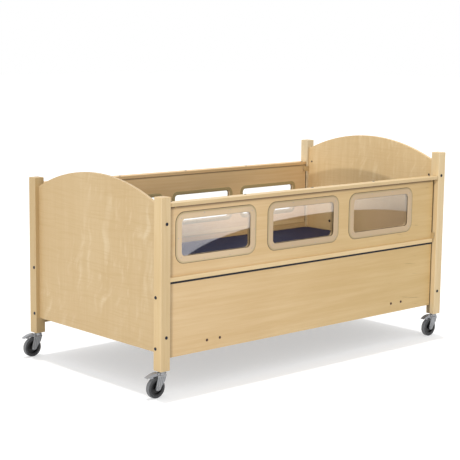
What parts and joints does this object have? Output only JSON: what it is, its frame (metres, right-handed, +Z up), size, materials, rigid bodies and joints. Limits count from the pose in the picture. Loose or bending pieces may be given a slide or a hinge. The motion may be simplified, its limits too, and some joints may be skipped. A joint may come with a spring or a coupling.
{
  "type": "safety bed",
  "caption": "Wooden safety bed on braked casters, with arched end panels and folding side rails that have clear windows.",
  "frame": {"origin": "on the floor, under the middle of the whole outline", "axes": "+X from the foot end to the head end, +Y from the front long side to the rear one, +Z up"},
  "size_m": [2.1708, 1.111, 1.1299],
  "materials": {
    "maple": "clear lacquered maple",
    "slat_wood": "plain softwood",
    "trim": "taupe moulded trim",
    "pane": "clear acrylic",
    "black_steel": "black oxide",
    "zinc": "zinc plated",
    "grey_steel": "powder coated",
    "nylon": "natural nylon",
    "bumper": "black rubber",
    "tyre": "grey non-marking rubber",
    "hub": "black nylon",
    "pedal": "black moulded",
    "cloth": "navy coated fabric"
  },
  "bodies": {
    "bed_frame": {"foot_post_front": "maple", "foot_post_rear": "maple", "head_post_front": "maple", "head_post_rear": "maple", "foot_panel": "maple", "head_panel": "maple", "front_lower_panel": "maple", "rear_lower_panel": "maple", "frame_bolts": "black_steel", "frame_nuts": "zinc", "post_bushings": "nylon", "caster_stems": "zinc", "rail_stops": "grey_steel", "stop_bumpers": "bumper", "corner_braces": "grey_steel", "bearers": "grey_steel", "base_frame": "grey_steel", "slats": "slat_wood", "mattress": "cloth"},
    "front_rail": {"front_rail_panel": "maple", "front_top_cap": "maple", "front_sill": "maple", "front_outer_trims": "trim", "front_inner_trims": "trim", "front_panes": "pane", "front_cap_screws": "black_steel", "front_pivot_plates": "zinc"},
    "foot_front_slide": {"foot_front_slide_bolt": "zinc"},
    "head_front_slide": {"head_front_slide_bolt": "zinc"},
    "rear_rail": {"rear_rail_panel": "maple", "rear_top_cap": "maple", "rear_sill": "maple", "rear_outer_trims": "trim", "rear_inner_trims": "trim", "rear_panes": "pane", "rear_cap_screws": "black_steel", "rear_pivot_plates": "zinc"},
    "foot_rear_slide": {"foot_rear_slide_bolt": "zinc"},
    "head_rear_slide": {"head_rear_slide_bolt": "zinc"},
    "foot_front_caster_swivel": {"foot_front_caster_fork": "zinc"},
    "foot_front_caster_wheel": {"foot_front_caster_tyre": "tyre", "foot_front_caster_hub": "hub"},
    "foot_front_caster_brake": {"foot_front_caster_pedal": "pedal"},
    "foot_rear_caster_swivel": {"foot_rear_caster_fork": "zinc"},
    "foot_rear_caster_wheel": {"foot_rear_caster_tyre": "tyre", "foot_rear_caster_hub": "hub"},
    "foot_rear_caster_brake": {"foot_rear_caster_pedal": "pedal"},
    "head_front_caster_swivel": {"head_front_caster_fork": "zinc"},
    "head_front_caster_wheel": {"head_front_caster_tyre": "tyre", "head_front_caster_hub": "hub"},
    "head_front_caster_brake": {"head_front_caster_pedal": "pedal"},
    "head_rear_caster_swivel": {"head_rear_caster_fork": "zinc"},
    "head_rear_caster_wheel": {"head_rear_caster_tyre": "tyre", "head_rear_caster_hub": "hub"},
    "head_rear_caster_brake": {"head_rear_caster_pedal": "pedal"}
  },
  "joints": [
    {"name": "front_rail_fold", "type": "hinge", "parent": "bed_frame", "child": "front_rail", "pos_m": [0.03175, -0.53, 0.584], "axis": [1, 0, 0], "range_deg": [0, 177]},
    {"name": "foot_front_slide_bolt", "type": "slide", "parent": "front_rail", "child": "foot_front_slide", "axis": [1, 0, 0], "range_m": [-0.014, 0]},
    {"name": "head_front_slide_bolt", "type": "slide", "parent": "front_rail", "child": "head_front_slide", "axis": [-1, 0, 0], "range_m": [-0.014, 0]},
    {"name": "rear_rail_fold", "type": "hinge", "parent": "bed_frame", "child": "rear_rail", "pos_m": [0.03175, 0.53, 0.584], "axis": [-1, 0, 0], "range_deg": [0, 177]},
    {"name": "foot_rear_slide_bolt", "type": "slide", "parent": "rear_rail", "child": "foot_rear_slide", "axis": [1, 0, 0], "range_m": [-0.014, 0]},
    {"name": "head_rear_slide_bolt", "type": "slide", "parent": "rear_rail", "child": "head_rear_slide", "axis": [-1, 0, 0], "range_m": [-0.014, 0]},
    {"name": "foot_front_caster_swivel", "type": "hinge", "parent": "bed_frame", "child": "foot_front_caster_swivel", "pos_m": [-0.99035, -0.524, 0.129], "axis": [0, 0, 1], "continuous": true},
    {"name": "foot_front_caster_wheel", "type": "hinge", "parent": "foot_front_caster_swivel", "child": "foot_front_caster_wheel", "pos_m": [-1.02835, -0.524, 0.05], "axis": [0, 1, 0], "continuous": true},
    {"name": "foot_front_caster_brake", "type": "hinge", "parent": "foot_front_caster_swivel", "child": "foot_front_caster_brake", "pos_m": [-1.01935, -0.524, 0.119], "axis": [0, -1, 0], "range_deg": [0, 8]},
    {"name": "foot_rear_caster_swivel", "type": "hinge", "parent": "bed_frame", "child": "foot_rear_caster_swivel", "pos_m": [-0.99035, 0.524, 0.129], "axis": [0, 0, 1], "continuous": true},
    {"name": "foot_rear_caster_wheel", "type": "hinge", "parent": "foot_rear_caster_swivel", "child": "foot_rear_caster_wheel", "pos_m": [-1.02835, 0.524, 0.05], "axis": [0, 1, 0], "continuous": true},
    {"name": "foot_rear_caster_brake", "type": "hinge", "parent": "foot_rear_caster_swivel", "child": "foot_rear_caster_brake", "pos_m": [-1.01935, 0.524, 0.119], "axis": [0, -1, 0], "range_deg": [0, 8]},
    {"name": "head_front_caster_swivel", "type": "hinge", "parent": "bed_frame", "child": "head_front_caster_swivel", "pos_m": [1.05385, -0.524, 0.129], "axis": [0, 0, 1], "continuous": true},
    {"name": "head_front_caster_wheel", "type": "hinge", "parent": "head_front_caster_swivel", "child": "head_front_caster_wheel", "pos_m": [1.01585, -0.524, 0.05], "axis": [0, 1, 0], "continuous": true},
    {"name": "head_front_caster_brake", "type": "hinge", "parent": "head_front_caster_swivel", "child": "head_front_caster_brake", "pos_m": [1.02485, -0.524, 0.119], "axis": [0, -1, 0], "range_deg": [0, 8]},
    {"name": "head_rear_caster_swivel", "type": "hinge", "parent": "bed_frame", "child": "head_rear_caster_swivel", "pos_m": [1.05385, 0.524, 0.129], "axis": [0, 0, 1], "continuous": true},
    {"name": "head_rear_caster_wheel", "type": "hinge", "parent": "head_rear_caster_swivel", "child": "head_rear_caster_wheel", "pos_m": [1.01585, 0.524, 0.05], "axis": [0, 1, 0], "continuous": true},
    {"name": "head_rear_caster_brake", "type": "hinge", "parent": "head_rear_caster_swivel", "child": "head_rear_caster_brake", "pos_m": [1.02485, 0.524, 0.119], "axis": [0, -1, 0], "range_deg": [0, 8]}
  ]
}
